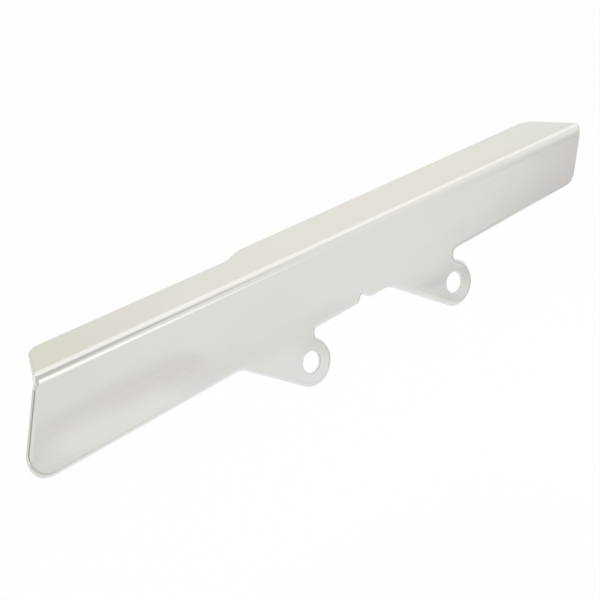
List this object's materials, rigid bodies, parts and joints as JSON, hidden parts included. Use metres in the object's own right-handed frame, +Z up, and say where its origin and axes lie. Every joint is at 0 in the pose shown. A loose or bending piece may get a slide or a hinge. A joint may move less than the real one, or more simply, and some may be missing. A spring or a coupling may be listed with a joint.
{
  "type": "motorcycle belt guard",
  "caption": "Chrome drive belt guard for a motorcycle: a long tapered sheet panel folded over into a stepped top flange, with hanging tabs drilled for mounting bolts.",
  "frame": {"origin": "midway between the two mounting holes, on the inner face of the outer panel, which seats on the carrier", "axes": "+X through both hole centres towards the low narrow end, +Y inwards over the belt the way the flange points, +Z up"},
  "size_m": [0.5619, 0.06, 0.1077],
  "materials": {
    "chrome": "polished"
  },
  "bodies": {
    "root": {"belt_guard": "chrome"}
  },
  "joints": []
}
